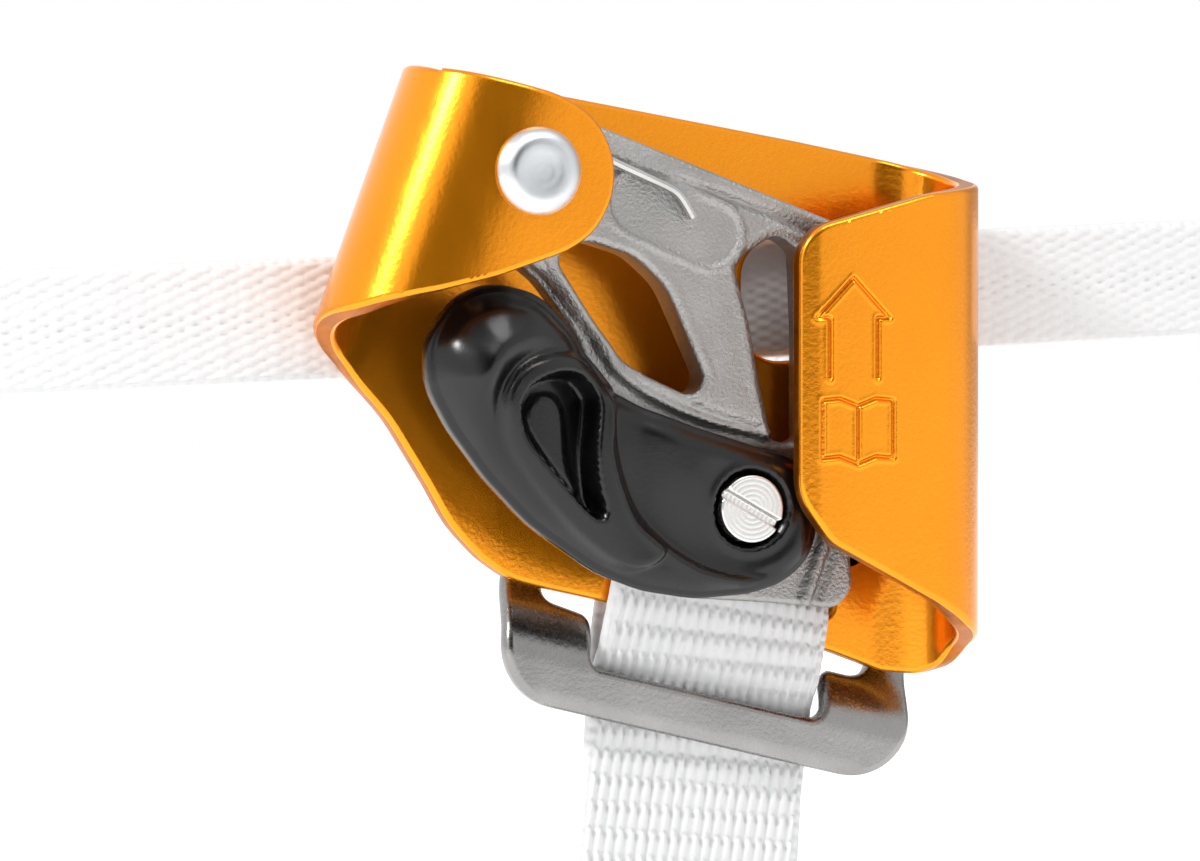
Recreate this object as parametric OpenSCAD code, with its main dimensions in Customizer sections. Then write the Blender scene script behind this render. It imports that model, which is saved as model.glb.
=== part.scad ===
// Foot ascender for the right foot: a bent plate frame, a toothed cam on a
// riveted axle, a safety catch on the cam, a strap bracket and two straps.
// Frame: +Z up along the rope, the front faces -Y, origin on the rope's axis.

/* [Frame plate] */
// Thickness of the bent sheet
plate_t = 3; // [2.5:0.1:3.2]
// Inside radius of the rope channel
channel_r = 7.5; // [7.5:0.1:8]
// Outside radius of the fold over the cam's axle
fold_r = 12; // [11.9:0.1:12.1]
// Diameter of the axle hole
axle_hole_d = 6.1; // [6.1:0.05:6.3]

/* [Cam] */
// Diameter of the rivet's shank
axle_d = 6; // [5.8:0.05:6]
// Outside diameter of the sleeve that the cam turns on
sleeve_d = 10; // [9:0.1:10]
// Angle of the toothed spiral, degrees
cam_spiral = 20; // [18:1:22]
// Number of tooth rows
cam_teeth = 15; // [8:1:18]
// Depth of each tooth row
tooth_depth = 1.1; // [0.6:0.1:1.2]
// Diameter of the spring's wire
spring_wire = 1.1; // [0.8:0.1:1.1]

/* [Catch] */
// Diameter of the slotted screw's head
screw_head_d = 8.4; // [8:0.1:8.4]
// Diameter of the bush that the catch turns on
catch_bush_d = 7; // [6.5:0.1:7]

/* [Straps] */
// Width of the foot strap
foot_strap_w = 30; // [28:0.5:30]
// Width of the ankle strap
ankle_strap_w = 15; // [14:0.5:15]
// Thickness of the webbing
webbing_t = 1.6; // [1.2:0.1:1.6]
// Tilt of the bracket and the strap slot, degrees
bar_tilt = 13.5; // [13:0.5:14]

/* [Hidden] */
$fn = 64;

gold = [0.93, 0.58, 0.08];
steel = [0.72, 0.71, 0.69];
dark_steel = [0.45, 0.45, 0.46];
black = [0.07, 0.07, 0.08];
white = [0.93, 0.93, 0.92];

// Depths along Y, front to rear
back_y0 = channel_r;
back_y1 = channel_r + plate_t;
flange_y0 = -back_y1;
flap_y0 = back_y1 - 2 * fold_r;
flap_y1 = flap_y0 + plate_t;
fold_y = back_y1 - fold_r;
cam_y0 = -5;
cam_y1 = 4.8;
boss_y1 = 5.4;
web_y1 = -2;
seat_y0 = -3;
seat_y1 = 0;
catch_y0 = -7.1;
catch_y1 = -3.55;
bulge_y0 = -9.6;
bulge_y1 = 1;
bulge_tip_y0 = -6.4;

// Places in the XZ plane
axle = [-53, 31.4];
screw = [-22.3, -9.4];
fold_axis_x = -64.6;
fold_lean = atan2(44, 117);
fit = 0.05;

// Rows of the strap bracket's own axes: u along the bar, v up across it
slot_u0 = -31.1;
slot_u1 = 0.4;
slot_v0 = -24.4;
slot_v1 = -20.8;
bracket_rivet_u = [-33.5, 0.5];
bracket_rivet_v = -15;
clamp_rivet_z = [12.5, 20.5];
clamp_x = -21.5;

// ---- curves ----------------------------------------------------------------

function arc(c, r, a0, a1, n = 10) =
    [for (i = [0:n]) let (a = a0 + (a1 - a0) * i / n) c + r * [cos(a), sin(a)]];

// One span of a curve that passes through every point
function span(a, b, c, d, t) =
    (2 * b + (c - a) * t + (2 * a - 5 * b + 4 * c - d) * t * t
        + (3 * b - a - 3 * c + d) * t * t * t) / 2;

function at(p, i) = p[max(0, min(len(p) - 1, i))];

function smooth(p, n = 4) = concat(
    [for (i = [0:len(p) - 2], k = [0:n - 1])
        span(at(p, i - 1), p[i], p[i + 1], at(p, i + 2), k / n)],
    [p[len(p) - 1]]);

function smooth_closed(p, n = 4) =
    [for (i = [0:len(p) - 1], k = [0:n - 1]) let (m = len(p))
        span(p[(i + m - 1) % m], p[i], p[(i + 1) % m], p[(i + 2) % m], k / n)];

function unit(v) = v / norm(v);

function heading(p, i) = unit(at(p, i + 1) - at(p, i - 1));

// ---- solids from curves ----------------------------------------------------

// Extrudes an outline drawn in XZ from y0 to y1
module along_y(y0, y1) {
    translate([0, y1, 0])
        rotate([90, 0, 0])
            linear_extrude(height = y1 - y0)
                children();
}

// Extrudes a section drawn in YZ along X
module along_x(x0, x1) {
    translate([x0, 0, 0])
        rotate([90, 0, 90])
            linear_extrude(height = x1 - x0)
                children();
}

module disc(at_xz, d, y0, y1) {
    translate([at_xz[0], y1, at_xz[1]])
        rotate([90, 0, 0])
            cylinder(d = d, h = y1 - y0);
}

// A closed solid through a list of rings with the same number of points
module skin(rings) {
    n = len(rings[0]);
    m = len(rings);
    points = [for (ring = rings) each ring];
    sides = [for (i = [0:m - 2], k = [0:n - 1])
        [i * n + k, i * n + (k + 1) % n, (i + 1) * n + (k + 1) % n, (i + 1) * n + k]];
    ends = [[for (k = [n - 1:-1:0]) k], [for (k = [0:n - 1]) (m - 1) * n + k]];
    polyhedron(points = points, faces = concat(sides, ends), convexity = 6);
}

// Round wire along a path
module wire(path, d, sides = 8) {
    skin([for (i = [0:len(path) - 1])
        let (t = heading(path, i), up = abs(t[1]) > 0.9 ? [0, 0, 1] : [0, 1, 0],
             a = unit(cross(t, up)), b = cross(t, a))
        [for (k = [0:sides - 1]) let (w = 360 * k / sides)
            path[i] + d / 2 * (cos(w) * a - sin(w) * b)]]);
}

// Flat webbing along a path, its width lying along the direction across
module band(path, w, t, across) {
    skin([for (i = [0:len(path) - 1])
        let (b = unit(across[i]), n = unit(cross(heading(path, i), b)),
             wide = w / 2 * b, thick = t / 2 * n)
        [path[i] - wide - thick, path[i] + wide - thick,
         path[i] + wide + thick, path[i] - wide + thick]]);
}

// Outline of a ribbon of thickness t along a flat path
module ribbon(path, t) {
    side = [for (i = [0:len(path) - 1]) let (h = heading(path, i)) [-h[1], h[0]] * t / 2];
    count = len(path) - 1;
    polygon(concat([for (i = [0:count]) path[i] + side[i]],
                   [for (i = [count:-1:0]) path[i] - side[i]]));
}

module rounded(x0, x1, z0, z1, r) {
    translate([x0 + r, z0])
        square([x1 - x0 - 2 * r, z1 - z0]);
    translate([x0, z0 + r])
        square([x1 - x0, z1 - z0 - 2 * r]);
    for (x = [x0 + r, x1 - r], z = [z0 + r, z1 - r])
        translate([x, z])
            circle(r = r);
}

// ---- frame plate -----------------------------------------------------------

// Heights of the sheet's edge where the rear face and the flange meet the bend
top_rear = 34.2;
top_front = 29.3;
foot_rear = -29.8;
foot_front = -20.5;

// The rear face is drawn in two parts that meet on a vertical line
seam_foot = [-44, -19.5];
seam_top = [-44, 41.85];

fold_outline = concat(
    [[-80, 13.9]],
    smooth([[-73.5, 12.4], [-70, 8.4], [-64.6, 1.2], [-60, -6.2], [-56.6, -11.8],
            [-52.6, -15.8], [-47.5, -18.5], seam_foot], 3),
    [seam_top, [-72, 44.2]]);

back_outline = [seam_foot, [-5.4, -27.9], [0, foot_rear], [0, top_rear], seam_top];

flange_outline = concat(
    [[0, top_front], [-9, 26.9]],
    arc([-11.8, 21.5], 5.5, 80, 180, 8),
    arc([-10.8, -7.5], 6.5, 180, 242, 6),
    [[0, foot_front]]);

// Side view of the bend, its ends sloping from the rear face to the flange
bend_outline = [
    [-12, top_front], [-channel_r, top_front], [channel_r, top_rear], [12, top_rear],
    [12, foot_rear], [channel_r, foot_rear], [-channel_r, foot_front], [-12, foot_front]];

flap_outline = concat(
    [[-72, 44.2], [-62.4, 43.7]],
    arc([-52.9, 31.3], 10.2, 79, -68, 16),
    [[-57.5, 19.1], [-66.8, 16.3], [-73.5, 12.4], [-80, 13.9]]);

module bend_section() {
    difference() {
        intersection() {
            circle(r = back_y1);
            translate([0, -back_y1])
                square(2 * back_y1);
        }
        circle(r = channel_r);
    }
}

module fold_section() {
    translate([fold_axis_x, back_y0])
        square([60, plate_t]);
    translate([fold_axis_x, fold_y])
        difference() {
            intersection() {
                circle(r = fold_r);
                translate([-2 * fold_r, -fold_r])
                    square([2 * fold_r, 2 * fold_r]);
            }
            circle(r = fold_r - plate_t);
        }
    translate([fold_axis_x, flap_y0])
        square([26, plate_t]);
}

module axle_fold() {
    intersection() {
        rotate([0, fold_lean, 0])
            translate([0, 0, -70])
                linear_extrude(height = 140)
                    fold_section();
        union() {
            along_y(fold_y, back_y1 + 1)
                polygon(fold_outline);
            along_y(flap_y0 - 1, fold_y)
                polygon(flap_outline);
        }
    }
}

module rear_face() {
    along_y(back_y0, back_y1)
        polygon(back_outline);
}

module rope_channel() {
    intersection() {
        translate([0, 0, -40])
            linear_extrude(height = 90)
                bend_section();
        along_x(0, 12)
            polygon(bend_outline);
    }
    along_y(flange_y0, flange_y0 + plate_t)
        polygon(flange_outline);
}

module frame_plate() {
    color(gold)
    difference() {
        union() {
            axle_fold();
            rear_face();
            rope_channel();
        }
        disc(axle, axle_hole_d, flap_y0 - 1, back_y1 + 1);
        along_y(back_y0 - 1, back_y1 + 1)
            rounded(-17.4, -6, 8.6, 24, 5);
        rotate([0, bar_tilt, 0])
            along_y(back_y0 - 1, back_y1 + 1)
                rounded(slot_u0, slot_u1, slot_v0, slot_v1, 1.2);
        bracket_rivet_holes(0.1);
        for (z = clamp_rivet_z)
            flush_rivet([clamp_x, z], 0.1, back_y1 + 1);
    }
}

// ---- axle ------------------------------------------------------------------

module axle_rivet() {
    head_d = 10.4;
    color(steel)
    translate([axle[0], 0, axle[1]])
        rotate([90, 0, 0]) {
            translate([0, 0, -back_y1 - 1.6])
                cylinder(d1 = 7.4, d2 = 9, h = 1.6);
            translate([0, 0, -back_y1 - 0.1])
                cylinder(d = axle_d, h = back_y1 - flap_y0 + 0.2);
            translate([0, 0, -flap_y0])
                cylinder(d = head_d, h = 0.9);
            translate([0, 0, -flap_y0 + 0.9])
                cylinder(d1 = head_d, d2 = head_d - 2.4, h = 1.5);
        }
}

module axle_sleeve() {
    color(dark_steel)
    difference() {
        disc(axle, sleeve_d, flap_y1, back_y0);
        disc(axle, axle_d + 2 * fit, flap_y1 - 1, back_y0 + 1);
    }
}

module axle_washer() {
    color(steel)
    difference() {
        disc(axle, 13, boss_y1 + 0.05, boss_y1 + 1.6);
        disc(axle, sleeve_d + 2 * fit, boss_y1, boss_y1 + 2);
    }
}

// ---- cam -------------------------------------------------------------------

// Radius of the toothed spiral at an angle about the axle
function spiral_r(a) = 66.1 * exp(-tan(cam_spiral) * (a + 47) * PI / 180);

spiral_a0 = -9.5;
spiral_a1 = -42;

function tooth_face() = [for (i = [0:2 * cam_teeth])
    let (a = spiral_a0 + (spiral_a1 - spiral_a0) * i / (2 * cam_teeth),
         r = spiral_r(a) - (i % 2 == 1 ? tooth_depth : 0))
    axle + r * [cos(a), sin(a)]];

cam_foot = smooth([[-8.1, -15.6], [-7.4, -18.5], [-8.4, -21.2], [-11, -22],
                   [-20.1, -20.8], [-29, -20.2], [-32.5, -18]], 3);

boss_d = 18.8;
bush_d = 12;
neck_r = boss_d / 2 - 0.3;

cam_outline = concat(
    arc(axle, neck_r, 215, 70, 14),
    [[-9.6, 25.5]],
    tooth_face(),
    cam_foot,
    smooth([[-32.5, -18], [-35.5, -11], [-39, -3], [-41.6, 5], [-44, 12], [-49.1, 18.4],
            [-56, 23.5]], 3));

// The face that stands proud of the catch's seat
raised_outline = concat(
    arc(axle, neck_r, 250, 70, 14),
    [[-9.6, 25.5], [-4, 23], [-6, 4]],
    smooth([[-6, 4], [-12, -2.6], [-18.5, -1], [-26.4, 1], [-35.6, 4.7], [-39.2, 7.2],
            [-43.1, 12.7], [-46.1, 16.4], [-49.1, 19.8]], 3));

window_outline = smooth_closed([
    [-46.9, 21], [-43.7, 23.3], [-37.5, 21.4], [-33.2, 18], [-29.8, 12], [-27.9, 7],
    [-29.6, 4.6], [-34.4, 6.5], [-38.1, 8.6], [-41.5, 13]], 3);

opening_outline = smooth_closed([
    [-22.2, 22.3], [-23.2, 20], [-21.7, 13.3], [-20.3, 5.7], [-18.9, -0.3], [-15.5, -0.6],
    [-13.5, 5], [-13.2, 13], [-14.6, 20], [-17.6, 24]], 3);

module cam_windows() {
    polygon(window_outline);
    polygon(opening_outline);
}

module cam() {
    head = concat([[-12.6, 25.8], [-9.6, 25.5]], tooth_face(), cam_foot,
                  [[-30, -13.5], [-16, -13.5], [-12.6, -6]]);
    color(steel)
    difference() {
        union() {
            along_y(seat_y0, seat_y1)
                difference() {
                    polygon(cam_outline);
                    cam_windows();
                }
            along_y(cam_y0, web_y1)
                difference() {
                    polygon(raised_outline);
                    cam_windows();
                }
            along_y(seat_y0, cam_y1)
                polygon(head);
            disc(axle, boss_d, cam_y0, boss_y1);
            disc(screw, 13, seat_y0, cam_y1);
        }
        disc(axle, bush_d, cam_y0 - 1, boss_y1 + 1);
        disc(screw, 5.4, seat_y0 - 1, cam_y1 + 1);
        disc(screw, 8.4, 1.9, cam_y1 + 1);
        translate([-14, -1.6, -9])
            cube([20, 3, 28]);
    }
}

module cam_bush() {
    color([0.62, 0.48, 0.28])
    difference() {
        disc(axle, bush_d, cam_y0, boss_y1);
        disc(axle, sleeve_d + 2 * fit, cam_y0 - 1, boss_y1 + 1);
    }
}

// Torsion spring round the sleeve, one leg hooked over the cam's face
spring_r = 6.3;
spring_turns = 3.2;
spring_path = concat(
    [for (i = [0:64]) let (a = 96 - 360 * spring_turns * (1 - i / 64))
        [axle[0] + spring_r * cos(a), -9.6 + 3.9 * i / 64, axle[1] + spring_r * sin(a)]],
    smooth([[-50.5, -5.75, 37.2], [-46, -5.75, 35.4], [-39, -5.75, 32.4], [-35.6, -5.75, 31],
            [-32.4, -5.75, 29.6], [-31, -5.7, 28.3], [-29.7, -5.7, 26.2]], 3));

module cam_spring() {
    color(dark_steel)
        wire(spring_path, spring_wire);
}

// ---- catch -----------------------------------------------------------------

catch_outline = smooth_closed([
    [-60.5, 16.3], [-56.2, 17.6], [-50.4, 16.4], [-45.3, 11.8], [-41.3, 5.6], [-36, 2.9],
    [-29.3, 0.4], [-21.3, -1.8], [-15.5, -4], [-12.8, -9], [-14, -15], [-17.6, -18.4],
    [-23, -19.9], [-29.3, -20.3], [-36.2, -19.1], [-42.5, -16.7], [-51.3, -11.1],
    [-57, -5.2], [-61.2, 0], [-64, 5.5], [-64.4, 10.5]], 3);

thumb_outline = smooth_closed([
    [-53.9, 2.3], [-53, 5.2], [-50, 7], [-46.5, 6.9], [-43.6, 4.5], [-43.6, -1],
    [-43.2, -6.3], [-43.1, -9.8], [-46.5, -8.2], [-50.4, -3.6]], 3);

// The stretch of the catch's outline from x0 to x1, drawn in by an inset
module catch_slice(x0, x1, y0, y1, inset = 0) {
    along_y(y0, y1)
        intersection() {
            offset(delta = -inset)
                polygon(catch_outline);
            translate([x0, -30])
                square([x1 - x0, 60]);
        }
}

module catch() {
    color(black)
    difference() {
        union() {
            along_y(catch_y0, catch_y1)
                polygon(catch_outline);
            catch_slice(-70, -46, bulge_tip_y0, bulge_y1, 2.4);
            catch_slice(-58.5, -38.5, bulge_y0, catch_y1);
        }
        along_y(bulge_y0 - 1, -5.6)
            polygon(thumb_outline);
        disc(screw, screw_head_d + 0.5, catch_y0 - 1, -5.25);
        disc(screw, catch_bush_d + 2 * fit, catch_y0 - 1, catch_y1 + 1);
    }
}

module catch_bush() {
    color([0.62, 0.48, 0.28])
    difference() {
        disc(screw, catch_bush_d, -5.3, seat_y0);
        disc(screw, 5, -6, seat_y0 + 1);
    }
}

module catch_screw() {
    color(steel)
    difference() {
        union() {
            disc(screw, screw_head_d, catch_y0, -5.3);
            disc(screw, 4, -5.4, 3.4);
        }
        translate([screw[0], catch_y0, screw[1]])
            rotate([0, 29, 0])
                cube([12, 2, 1.2], center = true);
    }
}

module catch_sleeve_nut() {
    color(steel)
    difference() {
        union() {
            disc(screw, 5.3, seat_y0, 3.8);
            disc(screw, 8.2, 2, 3.8);
        }
        disc(screw, 4, seat_y0 - 1, 5);
    }
}

module catch_washer() {
    color(steel)
    difference() {
        disc(screw, 11, catch_y1 + 0.05, seat_y0);
        disc(screw, catch_bush_d + 2 * fit, catch_y1 - 1, seat_y0 + 1);
    }
}

// ---- strap bracket ---------------------------------------------------------

bracket_y0 = back_y1;
bracket_t = 2.5;
bar_y0 = 5.5;
bracket_section = [
    [bracket_y0, -9], [bracket_y0, -29], [bar_y0, -35.6], [bar_y0, -44],
    [bar_y0 + bracket_t, -44], [bar_y0 + bracket_t, -36.6], [bracket_y0 + bracket_t, -30],
    [bracket_y0 + bracket_t, -9]];

module bracket_outline() {
    difference() {
        rounded(-42, 13.5, -43.2, -10, 4);
        rounded(-37.5, 8.4, -31, -20.5, 2);
        rounded(-30.8, 1.4, -37.4, -25, 1);
    }
}

// A rivet with its front head set flush in the plate
module flush_rivet(at_xz, gap, tail_y) {
    translate([at_xz[0], 0, at_xz[1]])
        rotate([90, 0, 0]) {
            translate([0, 0, -back_y0 - 1.5])
                cylinder(d1 = 3 + gap, d2 = 5.4 + gap, h = 1.5);
            translate([0, 0, -tail_y])
                cylinder(d = 3 + gap, h = tail_y - back_y0 - 1.4);
        }
}

module bracket_rivet_holes(gap) {
    rotate([0, bar_tilt, 0])
        for (u = bracket_rivet_u)
            flush_rivet([u, bracket_rivet_v], gap, bracket_y0 + bracket_t + 0.5);
}

module strap_bracket() {
    color(steel)
    difference() {
        rotate([0, bar_tilt, 0])
            intersection() {
                along_x(-45, 16)
                    polygon(bracket_section);
                along_y(0, 20)
                    bracket_outline();
            }
        bracket_rivet_holes(0.1);
    }
}

module bracket_rivets() {
    tail = bracket_y0 + bracket_t;
    color(steel)
    rotate([0, bar_tilt, 0])
        for (u = bracket_rivet_u) {
            flush_rivet([u, bracket_rivet_v], 0, tail + 0.4);
            disc([u, bracket_rivet_v], 5, tail + 0.02, tail + 1);
        }
}

// ---- foot strap ------------------------------------------------------------

// Route of the foot strap's middle, from the end sewn behind the frame, through
// the slot, down in front, under the sole and up to the ankle strap behind
foot_route = [
    [-23.6, 10.5, -56], [-23.2, 10.6, -50], [-22.8, 10.7, -43], [-22.2, 11, -35],
    [-21.6, 11.7, -29], [-21, 11.9, -25], [-20.4, 11.9, -21], [-20.2, 11.1, -19.2],
    [-20.2, 9.1, -18.3], [-20.4, 7.2, -19.2], [-20.8, 6.4, -21], [-21.4, 6.5, -24.5],
    [-21.9, 7.4, -28.8], [-22.3, 8.8, -32.8], [-23.1, 9, -40], [-24, 8.9, -48],
    [-24.9, 8.8, -57], [-25.6, 9.1, -66], [-25.8, 11, -76], [-24.4, 17, -83.5],
    [-20, 28, -87], [-13, 44, -88], [-4, 62, -88], [4, 78, -86.5], [9.4, 89, -82],
    [12, 94.6, -73], [13.6, 95, -60], [15.6, 95, -44], [18, 94.9, -26], [20.6, 94.8, -8],
    [22, 94.8, 3], [23.1, 94.8, 12], [24.2, 94.8, 23], [24.6, 96, 28.9],
    [24.6, 100, 28.9], [24.2, 101.2, 23], [23.1, 101.2, 12], [22, 100.4, 3],
    [21.2, 98, -4], [20.6, 97, -9], [20, 97, -14]];

// Direction of its width: square to the slot in front, level under the sole
function foot_across(i) = let (k = max(0, min(1, (i - 15) / 8)))
    [cos(bar_tilt), 0, -sin(bar_tilt) * (1 - k)] + max(0, min(1, (i - 23) / 5)) * [0, 0, -0.09];

module foot_strap() {
    n = 3;
    path = smooth(foot_route, n);
    color(white)
        band(path, foot_strap_w, webbing_t, [for (i = [0:len(path) - 1]) foot_across(i / n)]);
}

// Rows of thread across a strap, standing a little proud of it
module stitch_row(p0, p1, d = 0.7) {
    wire([p0, (p0 + p1) / 2, p1], d, 6);
}

module foot_strap_anchor_stitching() {
    color([0.8, 0.8, 0.79])
    for (k = [0:4]) {
        z = -44 - 2.2 * k;
        middle = [-22.8 + (z + 44) * 0.06, 11.6 + (z + 44) * 0.015, z];
        reach = 12.5 * [cos(bar_tilt), 0, -sin(bar_tilt)];
        stitch_row(middle - reach, middle + reach);
    }
}

module foot_strap_loop_stitching() {
    color([0.8, 0.8, 0.79])
    for (k = [0:3]) {
        z = -7 - 1.8 * k;
        middle = [20.8 + (z + 7) * 0.12, 97.95, z];
        reach = 12.5 * [1, 0, -0.09];
        stitch_row(middle - reach, middle + reach);
    }
}

// ---- ankle strap -----------------------------------------------------------

ankle_tilt = [-1, -2.6, 0];
ankle_z = 17.3;
ankle_y = back_y1 + 1.4;
ankle_far_y = 96.8;
ankle_left_x = -118;
ankle_right_x = 54;
loop_r = (ankle_far_y - ankle_y) / 2;

// Seen from above: from the end sewn round the buckle's left bar, round the
// left bend, behind the frame, round the right bend and back to the buckle
ankle_path = concat(
    smooth([[-42, 98.6], [-36, 98.6], [-30, 98.9], [-26, 100.2], [-22.9, 100.4], [-20.7, 98.5],
            [-22.9, 96.6], [-27, 96.7], [-42, 96.8]], 3),
    [for (i = [0:24]) let (a = 90 + 180 * i / 24)
        [ankle_left_x, (ankle_y + ankle_far_y) / 2] + loop_r * [cos(a), sin(a)]],
    [for (i = [0:24]) let (a = -90 + 180 * i / 24)
        [ankle_right_x, (ankle_y + ankle_far_y) / 2] + loop_r * [cos(a), sin(a)]],
    smooth([[30, 96.8], [4, 96.8], [-2, 96.6], [-8, 96.5], [-14, 96.5], [-16.9, 98.5],
            [-14, 100.5], [-8, 100.5], [-2, 100.5], [3, 99.5], [9, 98.7], [30, 98.6],
            [51, 98.6]], 3));

module on_ankle_plane() {
    translate([0, 0, ankle_z])
        rotate(ankle_tilt)
            children();
}

module ankle_strap() {
    color(white)
    difference() {
        on_ankle_plane()
            translate([0, 0, -ankle_strap_w / 2])
                linear_extrude(height = ankle_strap_w)
                    ribbon(ankle_path, webbing_t);
        for (z = clamp_rivet_z)
            disc([clamp_x, z], 3.3, back_y1 - 1, back_y1 + 4);
    }
}

module ankle_strap_stitching() {
    color([0.8, 0.8, 0.79])
    on_ankle_plane()
        for (k = [0:3]) {
            x = -32 - 2.2 * k;
            stitch_row([x, 99.55, -6], [x, 99.55, 6]);
        }
}

module ankle_strap_keeper() {
    color(black)
    on_ankle_plane()
        translate([45.5, 97.7, -9.2])
            difference() {
                translate([-4, -3, 0])
                    cube([8, 6, 18.4]);
                translate([-5, -2, 1.2])
                    cube([10, 4, 16]);
            }
}

clamp_y0 = back_y1 + 2.4;

module ankle_clamp_plate() {
    color(steel)
    difference() {
        along_y(clamp_y0, clamp_y0 + 1.5)
            rounded(clamp_x - 4, clamp_x + 4, 7.5, 25.5, 2);
        for (z = clamp_rivet_z)
            disc([clamp_x, z], 3.1, clamp_y0 - 1, clamp_y0 + 3);
    }
}

module ankle_clamp_rivets() {
    color(steel)
    for (z = clamp_rivet_z) {
        flush_rivet([clamp_x, z], 0, clamp_y0 + 1.9);
        disc([clamp_x, z], 5, clamp_y0 + 1.52, clamp_y0 + 2.4);
    }
}

module buckle_frame() {
    color(steel)
    on_ankle_plane()
        along_y(97.9, 99.1)
            difference() {
                rounded(-24, -2.4, -11, 11, 2);
                rounded(-22.2, -15.2, -8.4, 8.4, 1);
                rounded(-12.8, -5.2, -8.4, 8.4, 1);
            }
}

frame_plate();
axle_rivet();
axle_sleeve();
axle_washer();
cam();
cam_bush();
cam_spring();
catch();
catch_bush();
catch_screw();
catch_sleeve_nut();
catch_washer();
strap_bracket();
bracket_rivets();
foot_strap();
foot_strap_anchor_stitching();
foot_strap_loop_stitching();
ankle_strap();
ankle_strap_stitching();
ankle_strap_keeper();
ankle_clamp_plate();
ankle_clamp_rivets();
buckle_frame();
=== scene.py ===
"""Looks of a right-foot ascender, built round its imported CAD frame. Lengths below are in millimetres."""

import math

import bmesh
import bpy
import numpy as np
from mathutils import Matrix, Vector
from mathutils.geometry import delaunay_2d_cdt


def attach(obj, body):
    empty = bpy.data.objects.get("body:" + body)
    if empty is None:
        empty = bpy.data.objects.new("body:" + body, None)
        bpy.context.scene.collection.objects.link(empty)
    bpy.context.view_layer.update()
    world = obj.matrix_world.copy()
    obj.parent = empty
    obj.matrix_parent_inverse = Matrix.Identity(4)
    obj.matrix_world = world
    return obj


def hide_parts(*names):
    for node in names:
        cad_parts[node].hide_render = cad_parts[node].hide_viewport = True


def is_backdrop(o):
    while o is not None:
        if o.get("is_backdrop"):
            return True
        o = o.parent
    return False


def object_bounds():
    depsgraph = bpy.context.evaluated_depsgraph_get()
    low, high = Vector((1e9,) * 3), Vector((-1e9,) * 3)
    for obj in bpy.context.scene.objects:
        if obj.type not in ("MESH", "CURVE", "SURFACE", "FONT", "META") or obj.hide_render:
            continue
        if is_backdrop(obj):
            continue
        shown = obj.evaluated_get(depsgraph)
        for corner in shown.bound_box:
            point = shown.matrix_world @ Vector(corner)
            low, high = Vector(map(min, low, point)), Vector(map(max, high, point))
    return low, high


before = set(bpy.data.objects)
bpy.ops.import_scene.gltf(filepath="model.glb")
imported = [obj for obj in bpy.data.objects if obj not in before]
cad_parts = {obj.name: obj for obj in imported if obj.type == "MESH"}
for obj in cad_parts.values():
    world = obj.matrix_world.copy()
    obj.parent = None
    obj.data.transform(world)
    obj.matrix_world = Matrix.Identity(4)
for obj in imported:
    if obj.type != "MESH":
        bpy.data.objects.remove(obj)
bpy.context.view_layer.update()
MM = 0.001


# ---- camera ----------------------------------------------------------------


def facing(azimuth, elevation):
    """Direction from the object to a viewer at those angles in degrees."""
    a, e = math.radians(azimuth), math.radians(elevation)
    return Vector((math.sin(a) * math.cos(e), -math.cos(a) * math.cos(e), math.sin(e)))


def make_camera(azimuth=-22, elevation=1, distance=700, lens=168, right=36.75, up=0.06):
    """Looks past the frame's origin, which lies that far right of the image's middle."""
    back = facing(azimuth, elevation)
    side = (-back).cross(Vector((0, 0, 1))).normalized()
    camera = bpy.data.objects.new("camera", bpy.data.cameras.new("camera"))
    camera.data.lens = lens
    camera.data.sensor_width = 36
    camera.data.clip_start = 0.01
    camera.data.clip_end = 20
    camera.location = (back * distance - side * right - side.cross(-back) * up) * MM
    camera.rotation_mode = "QUATERNION"
    camera.rotation_quaternion = (-back).to_track_quat("-Z", "Y")
    bpy.context.scene.collection.objects.link(camera)
    bpy.context.scene.camera = camera


make_camera()


# ---- curves ----------------------------------------------------------------


def curve(points, step, closed=False):
    """Points every step along a smooth curve through the given ones."""
    p = np.array(points, float)
    n = len(p)
    out = []
    for i in range(n if closed else n - 1):
        near = [(i + k) % n if closed else min(max(i + k, 0), n - 1) for k in (-1, 0, 1, 2)]
        a, b, c, d = p[near]
        count = max(1, round(np.linalg.norm(c - b) / step))
        t = (np.arange(count) / count)[:, None]
        out.append(0.5 * (2 * b + (c - a) * t + (2 * a - 5 * b + 4 * c - d) * t**2
                          + (3 * b - a - 3 * c + d) * t**3))
    if not closed:
        out.append(p[-1:])
    return np.vstack(out)


def rounded(corners, arc_step=8):
    """A closed outline from (x, z, radius) corners."""
    out = []
    n = len(corners)
    for i in range(n):
        b = np.array(corners[i][:2], float)
        a, c = np.array(corners[i - 1][:2], float), np.array(corners[(i + 1) % n][:2], float)
        u, v = (a - b) / np.linalg.norm(a - b), (c - b) / np.linalg.norm(c - b)
        half = math.acos(max(-1, min(1, float(u @ v)))) / 2
        if half > math.radians(89.5) or corners[i][2] <= 0:
            out.append(b)
            continue
        room = 0.49 * min(np.linalg.norm(a - b), np.linalg.norm(c - b))
        r = min(corners[i][2], room * math.tan(half))
        centre = b + (u + v) / np.linalg.norm(u + v) * r / math.sin(half)
        start, end = b + u * r / math.tan(half) - centre, b + v * r / math.tan(half) - centre
        a0, a1 = math.atan2(start[1], start[0]), math.atan2(end[1], end[0])
        turn = (a1 - a0 + math.pi) % (2 * math.pi) - math.pi
        count = max(2, round(abs(math.degrees(turn)) / arc_step))
        for k in range(count + 1):
            w = a0 + turn * k / count
            out.append(centre + r * np.array([math.cos(w), math.sin(w)]))
    return np.array(out)


def box_loop(x0, x1, z0, z1, r):
    return rounded([(x0, z0, r), (x1, z0, r), (x1, z1, r), (x0, z1, r)])


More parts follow.
